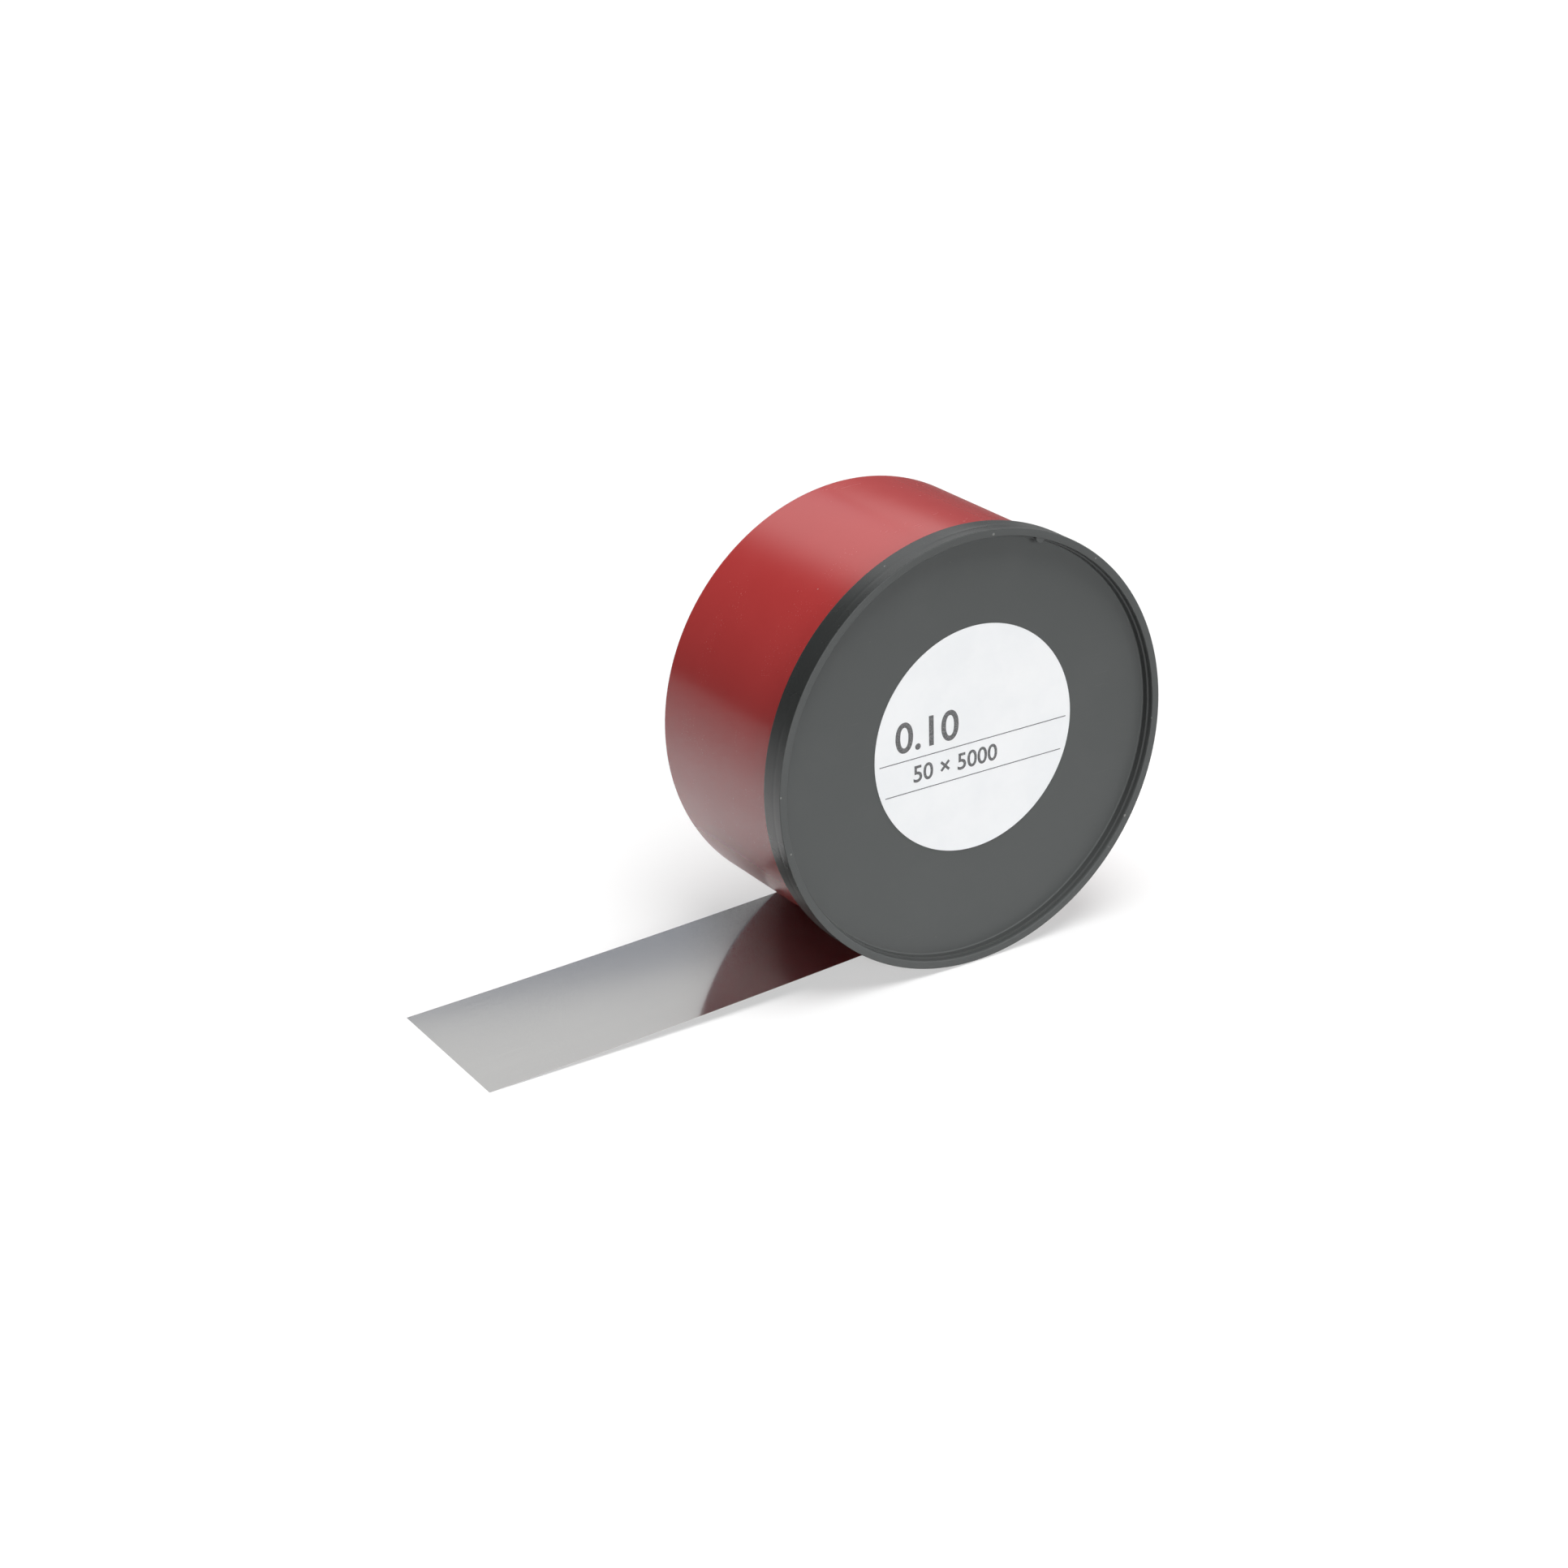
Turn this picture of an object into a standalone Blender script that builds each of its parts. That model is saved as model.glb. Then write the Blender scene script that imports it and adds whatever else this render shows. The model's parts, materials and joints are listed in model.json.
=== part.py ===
"""Shim stock roll: thin steel strip coiled in a round moulded case with a push-on lid.

The case lies on its side, as it does on a bench. It rests on the lid's skirt, which stands proud
of the case, and on the case's rear edge, so that its axis leans back a little. The free end of the
strip comes out of a slot low on the left and lies down to the floor, which keeps the case from rolling.

Every piece is modelled in the case's own frame: the rim of the lid is the plane Y = 0, +Y runs back
along the axis, and Z = 0 is the axis. An empty then leans the whole case and sets it on the floor.
All sizes are in metres.
"""
import math

import bmesh
import bpy
from mathutils import Matrix, Vector

# Case, a cup with a closed back
CASE_RADIUS = 0.06465
CASE_WALL = 0.0020
CASE_BACK = 0.0020
CASE_BACK_EDGE = 0.0008
CASE_MOUTH_EDGE = 0.0003
CASE_INNER_FILLET = 0.0012
FOOT_RING_WIDTH = 0.0050
FOOT_RING_HEIGHT = 0.0005

# Lid, pushed over the mouth of the case
SKIRT_DEPTH = 0.0084
SKIRT_WALL = 0.0018
SKIRT_CLEARANCE = 0.0003
SKIRT_EDGE = 0.0003
SKIRT_LEAD_IN = 0.0004
RIM_WIDTH = 0.0023
RIM_EDGE = 0.0002
LEDGE_DEPTH = 0.0017
LEDGE_WIDTH = 0.0005
LEDGE_EDGE = 0.0001
FACE_DEPTH = 0.00366
RECESS_DRAFT = 0.0002
LID_PLATE = 0.0016
SEAT_GAP = 0.0003
GATE_MARK_RADIUS = 0.0014
GATE_MARK_SPREAD = 0.0002
GATE_MARK_HEIGHT = 0.0009
GATE_MARK_ANGLE = math.radians(69)
GATE_MARK_SINK = 0.0003

# Label, stuck a little off the middle of the lid
LABEL_RADIUS = 0.0345
LABEL_THICKNESS = 0.00015
LABEL_GLUE = 0.00005
LABEL_OFFSET = Vector((0.0019, 0.0, 0.0029))

# Steel strip
STRIP_THICKNESS = 0.0001
STRIP_WIDTH = 0.050
STRIP_LENGTH = 5.0
EDGE_BULGE = 0.00006
COIL_WALL_GAP = 0.0003
COIL_FRONT_GAP = 0.00694
COIL_BACK_GAP = 0.00195
EXIT_ANGLE = math.radians(15.4)
EXIT_BEND = 0.0100
EXIT_SLOPE = math.radians(3.3)
TAIL_RUN = 0.1361

# Slot in the wall of the case, along the strip
SLOT_HEIGHT = 0.0018
SLOT_SIDE_CLEARANCE = 0.0008

# Facets
ROUND_STEPS = 96
COIL_STEPS = 72
EDGE_STEPS = 3
BEND_STEPS = 5
TAIL_STEPS = 16
MARK_STEPS = 20
SHARP_ANGLE = math.radians(32)

# Sizes that follow
case_bore = CASE_RADIUS - CASE_WALL
skirt_bore = CASE_RADIUS + SKIRT_CLEARANCE
lid_radius = skirt_bore + SKIRT_WALL
lid_inside = FACE_DEPTH + LID_PLATE
case_mouth = lid_inside + SEAT_GAP
strip_front = lid_inside + COIL_FRONT_GAP
strip_back = strip_front + STRIP_WIDTH
case_floor = strip_back + COIL_BACK_GAP
case_length = case_floor + CASE_BACK
coil_radius = case_bore - COIL_WALL_GAP

# The lid's skirt and the rear edge of the case both touch the floor
rest_span = (case_length - CASE_BACK_EDGE) - (SKIRT_DEPTH - SKIRT_EDGE)
lean = math.asin((lid_radius - CASE_RADIUS) / rest_span)
axis_height = (SKIRT_DEPTH - SKIRT_EDGE) * math.sin(lean) + lid_radius * math.cos(lean)
case_to_floor = Matrix.Translation((0, 0, axis_height)) @ Matrix.Rotation(-lean, 4, "X")


def coil_turns():
    """Whole turns of the coil: the strip's length without its free end, at the coil's mean radius."""
    wound = STRIP_LENGTH - TAIL_RUN
    turns = wound / (2 * math.pi * coil_radius)
    mean_radius = coil_radius - turns * STRIP_THICKNESS / 2
    return round(wound / (2 * math.pi * mean_radius))


def make_material(name, colour, roughness, metallic=0.0):
    material = bpy.data.materials.new(name)
    material.use_nodes = True
    shader = material.node_tree.nodes["Principled BSDF"]
    shader.inputs["Base Color"].default_value = (*colour, 1.0)
    shader.inputs["Roughness"].default_value = roughness
    shader.inputs["Metallic"].default_value = metallic
    return material


def add_object(name, bm, material, frame):
    """Turn a bmesh into a smooth-shaded object that stands in the case's frame."""
    bmesh.ops.recalc_face_normals(bm, faces=bm.faces)
    mesh = bpy.data.meshes.new(name)
    bm.to_mesh(mesh)
    bm.free()
    mesh.shade_smooth()
    mesh.set_sharp_from_angle(angle=SHARP_ANGLE)
    mesh.materials.append(material)
    obj = bpy.data.objects.new(name, mesh)
    bpy.context.scene.collection.objects.link(obj)
    obj.parent = frame
    return obj


def round_corner(centre, radius, start, end):
    """Points of a quarter round in a (radius, depth) profile, from one angle to another."""
    for step in range(EDGE_STEPS + 1):
        angle = start + (end - start) * step / EDGE_STEPS
        yield (centre[0] + radius * math.cos(angle), centre[1] + radius * math.sin(angle))


def spin_profile(profile):
    """Spin an open profile of (radius, depth) points, whose ends lie on the axis, about the axis."""
    bm = bmesh.new()
    verts = [bm.verts.new((radius, depth, 0)) for radius, depth in profile]
    edges = [bm.edges.new(pair) for pair in zip(verts, verts[1:])]
    bmesh.ops.spin(bm, geom=verts + edges, cent=(0, 0, 0), axis=(0, 1, 0),
                   angle=2 * math.pi, steps=ROUND_STEPS)
    bmesh.ops.remove_doubles(bm, verts=bm.verts, dist=1e-6)
    return bm


def strip_path():
    """Centre line of the free end in the case's frame: (x, z, direction) from the coil to the floor.

    The strip leaves the outer turn, bends down over the slot's edge and slopes to the floor.
    """
    turn_radius = coil_radius - STRIP_THICKNESS / 2
    bend_x = -(turn_radius + EXIT_BEND) * math.sin(EXIT_ANGLE)
    bend_z = -(turn_radius + EXIT_BEND) * math.cos(EXIT_ANGLE)
    for step in range(BEND_STEPS + 1):
        rise = EXIT_ANGLE - (EXIT_ANGLE + EXIT_SLOPE) * step / BEND_STEPS
        yield bend_x + EXIT_BEND * math.sin(rise), bend_z + EXIT_BEND * math.cos(rise), rise


def strip_sections():
    """Front and back edges of the strip's centre surface, and its up direction, along the free end."""
    sections = []
    for x, z, rise in strip_path():
        up = Vector((math.sin(rise), 0, math.cos(rise)))
        sections.append((Vector((x, strip_front, z)), Vector((x, strip_back, z)), up))

    # From here the strip is laid out on the floor, so it is worked out in the floor's frame
    front, back, up = sections[-1]
    start = case_to_floor @ ((front + back) / 2)
    to_case = case_to_floor.inverted()
    drop = start.z - STRIP_THICKNESS / 2
    exit_slope = math.tan(EXIT_SLOPE)
    tip_slope = 2 * drop / TAIL_RUN - exit_slope
    for step in range(1, TAIL_STEPS + 1):
        share = step / TAIL_STEPS
        run = TAIL_RUN * share
        slope = exit_slope + (tip_slope - exit_slope) * share
        height = start.z - run * (exit_slope + slope) / 2
        twist = lean * (1 - share)
        centre = Vector((start.x - run, start.y, height))
        half = Vector((0, math.cos(twist), -math.sin(twist))) * STRIP_WIDTH / 2
        up = to_case.to_3x3() @ Vector((-slope, 0, 1)).normalized()
        sections.append((to_case @ (centre - half), to_case @ (centre + half), up))
    return sections


def build_case(material, frame):
    foot = CASE_RADIUS - FOOT_RING_WIDTH
    panel = case_length - FOOT_RING_HEIGHT
    edge = CASE_BACK_EDGE
    fillet = CASE_INNER_FILLET
    right = math.pi / 2
    profile = [(0, panel), (foot - FOOT_RING_HEIGHT, panel), (foot, case_length)]
    profile += round_corner((CASE_RADIUS - edge, case_length - edge), edge, right, 0)
    profile += [(CASE_RADIUS, case_mouth + CASE_MOUTH_EDGE), (CASE_RADIUS - CASE_MOUTH_EDGE, case_mouth),
                (case_bore + CASE_MOUTH_EDGE, case_mouth), (case_bore, case_mouth + CASE_MOUTH_EDGE)]
    profile += round_corner((case_bore - fillet, case_floor - fillet), fillet, 0, right)
    profile += [(0, case_floor)]
    case = add_object("case_body", spin_profile(profile), material, frame)

    slot = case.modifiers.new("exit_slot", "BOOLEAN")
    slot.operation = "DIFFERENCE"
    slot.solver = "EXACT"
    slot.object = slot_cutter(frame)
    return case


def slot_cutter(frame):
    """A flat box along the strip, where it crosses the wall of the case."""
    *_, (x, z, _) = strip_path()
    wall_chord = 2 * math.sqrt(CASE_RADIUS ** 2 - case_bore ** 2)
    bm = bmesh.new()
    bmesh.ops.create_cube(bm, size=1.0)
    bmesh.ops.scale(bm, verts=bm.verts, vec=(
        wall_chord, STRIP_WIDTH + 2 * SLOT_SIDE_CLEARANCE, SLOT_HEIGHT))
    bmesh.ops.rotate(bm, verts=bm.verts, matrix=Matrix.Rotation(-EXIT_SLOPE, 3, "Y"))
    bmesh.ops.translate(bm, verts=bm.verts, vec=(x, (strip_front + strip_back) / 2, z))
    cutter = add_object("slot_cutter", bm, None, frame)
    cutter.hide_render = True
    cutter.display_type = "WIRE"
    return cutter


def build_lid(material, frame):
    rim_inner = lid_radius - RIM_WIDTH
    ledge_outer = rim_inner - RECESS_DRAFT
    ledge_inner = ledge_outer - LEDGE_WIDTH
    face_radius = ledge_inner - RECESS_DRAFT
    profile = [
        (0, FACE_DEPTH),
        (face_radius, FACE_DEPTH),
        (ledge_inner, LEDGE_DEPTH + LEDGE_EDGE),
        (ledge_inner + LEDGE_EDGE, LEDGE_DEPTH),
        (ledge_outer, LEDGE_DEPTH),
        (rim_inner, RIM_EDGE),
        (rim_inner + RIM_EDGE, 0),
        (lid_radius - RIM_EDGE, 0),
        (lid_radius, RIM_EDGE),
        (lid_radius, SKIRT_DEPTH - SKIRT_EDGE),
        (lid_radius - SKIRT_EDGE, SKIRT_DEPTH),
        (skirt_bore + SKIRT_LEAD_IN, SKIRT_DEPTH),
        (skirt_bore, SKIRT_DEPTH - SKIRT_LEAD_IN),
        (skirt_bore, lid_inside),
        (0, lid_inside),
    ]
    lid = add_object("lid", spin_profile(profile), material, frame)
    mark = lid.modifiers.new("gate_mark", "BOOLEAN")
    mark.operation = "UNION"
    mark.solver = "EXACT"
    mark.object = gate_mark(rim_inner, frame)
    return lid


def gate_mark(radius, frame):
    """The mark of the mould's gate: half a round tab on the rim's inner edge, a hair below its front."""
    centre = Vector((radius * math.cos(GATE_MARK_ANGLE), GATE_MARK_SINK + GATE_MARK_HEIGHT / 2,
                     radius * math.sin(GATE_MARK_ANGLE)))
    bm = bmesh.new()
    bmesh.ops.create_cone(bm, cap_ends=True, segments=MARK_STEPS, depth=GATE_MARK_HEIGHT,
                          radius1=GATE_MARK_RADIUS + GATE_MARK_SPREAD, radius2=GATE_MARK_RADIUS)
    bmesh.ops.rotate(bm, verts=bm.verts, matrix=Matrix.Rotation(math.pi / 2, 3, "X"))
    bmesh.ops.translate(bm, verts=bm.verts, vec=centre)
    mark = add_object("gate_mark", bm, None, frame)
    mark.hide_render = True
    mark.display_type = "WIRE"
    return mark


def build_label(material, frame):
    back = FACE_DEPTH - LABEL_GLUE
    front = back - LABEL_THICKNESS
    bm = spin_profile([(0, front), (LABEL_RADIUS, front), (LABEL_RADIUS, back), (0, back)])
    bmesh.ops.translate(bm, verts=bm.verts, vec=LABEL_OFFSET)
    return add_object("label", bm, material, frame)


def edge_points(bm, front, back, bulge=0.0):
    """Two points of the strip, one on each of its edges; a bulge sets both a little further out."""
    reach = Vector((0, bulge, 0))
    return bm.verts.new(front - reach), bm.verts.new(back + reach)


def build_strip(material, frame):
    """The whole strip as one solid: the wound turns, with the free end that leaves the outer turn.

    Row 0 of the winding is the inner face of the innermost turn, and each turn adds two rows: its
    middle and its outer face. The middle bulges, because the strip's edges are a little rounded, so
    that the turns show at both ends of the coil. One round later a row has grown by a turn, so the
    last column of each row is the first column of the row two further out.
    """
    turns = coil_turns()
    rows = 2 * turns + 1
    inner_radius = coil_radius - (turns + 1) * STRIP_THICKNESS
    bm = bmesh.new()
    grid = {}
    for row in range(rows):
        bulge = EDGE_BULGE if row % 2 else 0
        for column in range(COIL_STEPS + 1):
            if column == COIL_STEPS and row + 2 < rows:
                continue
            share = column / COIL_STEPS
            radius = inner_radius + (row / 2 + share) * STRIP_THICKNESS
            angle = EXIT_ANGLE + 2 * math.pi * share
            x, z = -radius * math.sin(angle), -radius * math.cos(angle)
            grid[row, column] = edge_points(bm, Vector((x, strip_front, z)),
                                            Vector((x, strip_back, z)), bulge)
    for row in range(rows - 2):
        grid[row, COIL_STEPS] = grid[row + 2, 0]

    for column in range(COIL_STEPS):
        for row in range(rows - 1):
            for end in (0, 1):
                bm.faces.new((grid[row, column][end], grid[row, column + 1][end],
                              grid[row + 1, column + 1][end], grid[row + 1, column][end]))
        for row in (0, rows - 1):
            bm.faces.new((grid[row, column][0], grid[row, column + 1][0],
                          grid[row, column + 1][1], grid[row, column][1]))
    for row in (0, 1):
        bm.faces.new((grid[row, 0][0], grid[row + 1, 0][0], grid[row + 1, 0][1], grid[row, 0][1]))

    # The last column of the outer turn carries on as the free end: its upper face, middle and lower face
    section = [grid[row, COIL_STEPS] for row in (rows - 3, rows - 2, rows - 1)]
    for front, back, up in strip_sections()[1:]:
        rise = up * STRIP_THICKNESS / 2
        following = [edge_points(bm, front + rise, back + rise),
                     edge_points(bm, front, back, EDGE_BULGE),
                     edge_points(bm, front - rise, back - rise)]
        for level in (0, 1):
            for end in (0, 1):
                bm.faces.new((section[level][end], following[level][end],
                              following[level + 1][end], section[level + 1][end]))
        for level in (0, 2):
            bm.faces.new((section[level][0], following[level][0],
                          following[level][1], section[level][1]))
        section = following
    for level in (0, 1):
        bm.faces.new((section[level][0], section[level + 1][0],
                      section[level + 1][1], section[level][1]))
    return add_object("steel_strip", bm, material, frame)


def set_on_floor(frame):
    """Lean the case back onto its rear edge and put the origin under the middle of its box."""
    frame.matrix_world = case_to_floor
    bpy.context.view_layer.update()
    depsgraph = bpy.context.evaluated_depsgraph_get()
    corners = []
    for obj in frame.children:
        if obj.hide_render:
            continue
        shape = obj.evaluated_get(depsgraph)
        corners += [obj.matrix_world @ vert.co for vert in shape.data.vertices]
    low = Vector(min(corner[axis] for corner in corners) for axis in range(3))
    high = Vector(max(corner[axis] for corner in corners) for axis in range(3))
    middle = (low + high) / 2
    frame.location -= Vector((middle.x, middle.y, low.z))


def build():
    for obj in list(bpy.data.objects):
        bpy.data.objects.remove(obj)
    frame = bpy.data.objects.new("case_frame", None)
    bpy.context.scene.collection.objects.link(frame)
    red = make_material("red_plastic", (0.42, 0.03, 0.035), 0.38)
    black = make_material("black_plastic", (0.055, 0.058, 0.057), 0.45)
    paper = make_material("label_paper", (0.86, 0.87, 0.88), 0.55)
    steel = make_material("spring_steel", (0.55, 0.55, 0.54), 0.28, metallic=1.0)
    build_case(red, frame)
    build_lid(black, frame)
    build_label(paper, frame)
    build_strip(steel, frame)
    set_on_floor(frame)


build()
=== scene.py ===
# %% [markdown]
# # A roll of shim stock in its round case
#
# Shim stock is thin spring steel that is cut up for spacers and feeler strips. Five metres of it are
# wound inside a round plastic case, and the free end comes out of a slot low in the case's wall. The
# case is a red cup, a black lid is pushed over its mouth, and a round paper label is stuck on the lid.
#
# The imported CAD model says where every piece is. This script makes smoother pieces with real finishes
# that stand exactly where the CAD pieces stand, and then lights them as in a small photo studio.

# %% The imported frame
import json
import math

import bmesh
import bpy
import numpy as np
from mathutils import Matrix, Vector


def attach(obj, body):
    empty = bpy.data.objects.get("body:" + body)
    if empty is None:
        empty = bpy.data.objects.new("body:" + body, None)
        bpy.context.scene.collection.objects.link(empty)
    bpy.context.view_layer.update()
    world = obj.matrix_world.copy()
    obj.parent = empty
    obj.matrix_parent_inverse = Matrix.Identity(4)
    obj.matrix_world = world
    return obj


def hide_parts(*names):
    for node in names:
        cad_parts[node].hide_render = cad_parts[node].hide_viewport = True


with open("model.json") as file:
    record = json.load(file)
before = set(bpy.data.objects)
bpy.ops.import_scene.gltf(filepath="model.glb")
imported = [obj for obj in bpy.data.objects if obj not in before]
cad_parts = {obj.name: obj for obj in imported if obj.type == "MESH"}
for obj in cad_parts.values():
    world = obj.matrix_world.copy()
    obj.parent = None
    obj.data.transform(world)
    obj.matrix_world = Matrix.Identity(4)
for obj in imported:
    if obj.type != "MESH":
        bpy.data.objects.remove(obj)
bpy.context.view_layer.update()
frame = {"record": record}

MM = 0.001
scene = bpy.context.scene
scene.view_settings.view_transform = "Standard"

# %% [markdown]
# ## The camera
#
# The photograph was taken from the left, above, and about a metre away with a long lens. The camera
# could be placed by eye, but the sizes of the round case and its lid settle it: the numbers below come
# from fitting the outlines of the lid, the label and the strip.

# %% The camera
CAMERA_AZIMUTH = math.radians(-32.576)
CAMERA_ELEVATION = math.radians(25.548)
CAMERA_ROLL = math.radians(-0.424)
CAMERA_DISTANCE = 0.95235
CAMERA_LENS = 77.459
CAMERA_SENSOR = 36.0
CAMERA_AIM = Vector((-0.011397, -0.018336, 0.065953))


def direction(azimuth, elevation):
    """From the object towards a place seen at that azimuth and elevation. Azimuth 0 is the front."""
    return Vector((math.sin(azimuth) * math.cos(elevation),
                   -math.cos(azimuth) * math.cos(elevation),
                   math.sin(elevation)))


camera_back = direction(CAMERA_AZIMUTH, CAMERA_ELEVATION)
camera_turn = (-camera_back).to_track_quat("-Z", "Y").to_matrix() @ Matrix.Rotation(CAMERA_ROLL, 3, "Z")
camera_data = bpy.data.cameras.new("photo_camera")
camera_data.sensor_width = CAMERA_SENSOR
camera_data.lens = CAMERA_LENS
camera = bpy.data.objects.new("photo_camera", camera_data)
scene.collection.objects.link(camera)
camera_place = CAMERA_AIM + camera_back * CAMERA_DISTANCE
camera.matrix_world = Matrix.Translation(camera_place) @ camera_turn.to_4x4()
scene.camera = camera
print("camera at", [round(value, 3) for value in camera_place], "m")

# %% [markdown]
# ## Sizes, and the frame of the case
#
# The case doesn't lie quite level. It rests on the lid's skirt, which stands a little proud, and on the
# rear edge of the cup, so its axis leans back by two degrees. Every turned piece is easiest to draw
# upright, in the case's own frame: the lid's rim is at depth 0, depth grows towards the back, and the
# axis is the line x = z = 0. The frame's place comes from the record's lid_rim mount, whose point lies
# on the rim straight below the axis.

# %% Sizes in millimetres, as in the CAD source
LID_RADIUS = 66.75
RIM_WIDTH = 2.3
LEDGE_DEPTH = 1.7
LEDGE_WIDTH = 0.5
FACE_DEPTH = 3.66
RECESS_DRAFT = 0.2
LID_PLATE = 1.6
SKIRT_DEPTH = 8.4
SKIRT_BORE = 64.95
CASE_RADIUS = 64.65
CASE_BORE = 62.65
CASE_MOUTH = 5.56
CASE_FLOOR = 64.15
CASE_LENGTH = 66.15
FOOT_RING_WIDTH = 5.0
FOOT_RING_HEIGHT = 0.5
STRIP_FRONT = 12.2
STRIP_WIDTH = 50.0
STRIP_THICKNESS = 0.1

# %% The frame of the case
rim_mount = next(mount for mount in frame["record"]["mounts"] if mount["name"] == "lid_rim")
case_back = -Vector(rim_mount["axis"]).normalized()
case_right = Vector((1, 0, 0))
case_up = case_right.cross(case_back)
rim_centre = Vector(rim_mount["pos_m"]) + case_up * (LID_RADIUS - RIM_WIDTH / 2) * MM
case_lean = math.atan2(-case_back.z, case_back.y)
case_matrix = Matrix.Translation(rim_centre) @ Matrix.Rotation(-case_lean, 4, "X")
print("the case leans back", round(math.degrees(case_lean), 3), "degrees")
print("centre of the rim in mm", [round(value / MM, 3) for value in rim_centre])

# %% [markdown]
# ## Drawing a profile and turning it
#
# The cup and the lid are round, so each could be built up from cylinders. A lathe is closer to how
# their mould was made, and it gives every ledge and rounded edge at once: half of the cut shape is drawn
# as a chain of points, its corners are rounded, and the chain is spun about the axis. Long flat walls
# next to small rounded edges shade badly when normals are averaged, so a Weighted Normal modifier lets
# the large faces decide.

# %% Helpers for edit mode
TURN_STEPS = 192
ROUND_STEPS = 4
SMOOTH_ANGLE = math.radians(35)
TOUCH = 1e-7
WELD = 1e-6
CM3_PER_M3 = 1e6


def select(kind, test):
    """In edit mode, select the VERT, EDGE or FACE elements that pass the test, and nothing else."""
    mesh = bpy.context.object.data
    bpy.ops.mesh.select_mode(type=kind)
    bpy.ops.mesh.select_all(action="DESELECT")
    shape = bmesh.from_edit_mesh(mesh)
    elements = {"VERT": shape.verts, "EDGE": shape.edges, "FACE": shape.faces}[kind]
    found = [element for element in elements if test(element)]
    for element in found:
        element.select_set(True)
    shape.select_flush_mode()
    bmesh.update_edit_mesh(mesh)
    return len(found)


def only(obj):
    """Make this object the one that is selected and active."""
    bpy.ops.object.select_all(action="DESELECT")
    obj.select_set(True)
    bpy.context.view_layer.objects.active = obj
    return obj


def apply_modifier(obj, kind, **settings):
    """Add a modifier with these settings to an object and apply it."""
    only(obj)
    modifier = obj.modifiers.new(kind.lower(), kind)
    for name, value in settings.items():
        setattr(modifier, name, value)
    bpy.ops.object.modifier_apply(modifier=modifier.name)


def report(obj):
    """Print how large a piece is and whether its mesh is closed."""
    shape = bmesh.new()
    shape.from_mesh(obj.data)
    open_edges = sum(not edge.is_manifold for edge in shape.edges)
    triangles = sum(len(face.verts) - 2 for face in shape.faces)
    volume = shape.calc_volume(signed=True) * CM3_PER_M3
    shape.free()
    print(f"{obj.name}: {triangles} triangles, {open_edges} open edges, {volume:.3f} cm3")


# %% Drawing a profile
def draw_profile(name, corners):
    """Draw a chain of (radius, depth, rounding) corners, in mm, as the half profile of a new object."""
    bpy.ops.object.select_all(action="DESELECT")
    bpy.ops.mesh.primitive_plane_add(size=MM)
    obj = bpy.context.object
    obj.name = obj.data.name = name
    bpy.ops.object.mode_set(mode="EDIT")
    bpy.ops.mesh.select_mode(type="VERT")
    bpy.ops.mesh.select_all(action="SELECT")
    bpy.ops.mesh.merge(type="CENTER")
    here = Vector()
    for step, (radius, depth, _) in enumerate(corners):
        there = Vector((radius, depth, 0)) * MM
        if step == 0:
            bpy.ops.transform.translate(value=there - here)
        else:
            bpy.ops.mesh.extrude_vertices_move(TRANSFORM_OT_translate={"value": there - here})
        here = there
    for radius, depth, rounding in corners:
        if rounding:
            corner = Vector((radius, depth, 0)) * MM
            select("VERT", lambda vert: (vert.co - corner).length < TOUCH)
            bpy.ops.mesh.bevel(offset=rounding * MM, segments=ROUND_STEPS, affect="VERTICES")
    bpy.ops.object.mode_set(mode="OBJECT")
    return obj


# %% Turning it, shading it and standing it in its place
def turn_profile(obj):
    """Spin the profile about the case's axis, close it and point its faces outwards."""
    only(obj)
    bpy.ops.object.mode_set(mode="EDIT")
    bpy.ops.mesh.select_all(action="SELECT")
    bpy.ops.mesh.spin(steps=TURN_STEPS, angle=2 * math.pi, center=(0, 0, 0), axis=(0, 1, 0))
    bpy.ops.mesh.select_all(action="SELECT")
    bpy.ops.mesh.remove_doubles(threshold=WELD)
    bpy.ops.mesh.normals_make_consistent(inside=False)
    bpy.ops.object.mode_set(mode="OBJECT")


def smooth(obj):
    """Shade smooth between the sharp edges, with normals that follow the large faces."""
    only(obj)
    bpy.ops.object.shade_smooth_by_angle(angle=SMOOTH_ANGLE)
    apply_modifier(obj, "WEIGHTED_NORMAL", keep_sharp=True)


def stand_in_case(obj):
    """Move a piece from the case's frame to its place in the model, and apply that place to its mesh."""
    only(obj)
    obj.matrix_world = case_matrix @ obj.matrix_world
    bpy.ops.object.transform_apply(location=True, rotation=True, scale=True)
    report(obj)


# %% [markdown]
# ## The case
#
# The case is a cup with a closed back, moulded in one piece. Its wall is two millimetres thick. Nobody
# sees its back in the photograph, so the back gets what such a cup usually has: a low foot ring round
# its edge, which also gives it something flat to stand on, and a panel that lies a little deeper.

# %% The case as a turned cup
FOOT_INNER_ROUNDING = 0.2
FOOT_OUTER_ROUNDING = 0.12
BACK_ROUNDING = 0.8
MOUTH_ROUNDING = 0.3
CUP_FILLET = 1.2

foot = CASE_RADIUS - FOOT_RING_WIDTH
panel = CASE_LENGTH - FOOT_RING_HEIGHT
case_shell = draw_profile("case_shell", [
    (0, panel, 0),
    (foot - FOOT_RING_HEIGHT, panel, FOOT_INNER_ROUNDING),
    (foot, CASE_LENGTH, FOOT_OUTER_ROUNDING),
    (CASE_RADIUS, CASE_LENGTH, BACK_ROUNDING),
    (CASE_RADIUS, CASE_MOUTH, MOUTH_ROUNDING),
    (CASE_BORE, CASE_MOUTH, MOUTH_ROUNDING),
    (CASE_BORE, CASE_FLOOR, CUP_FILLET),
    (0, CASE_FLOOR, 0),
])
turn_profile(case_shell)
report(case_shell)

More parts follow.
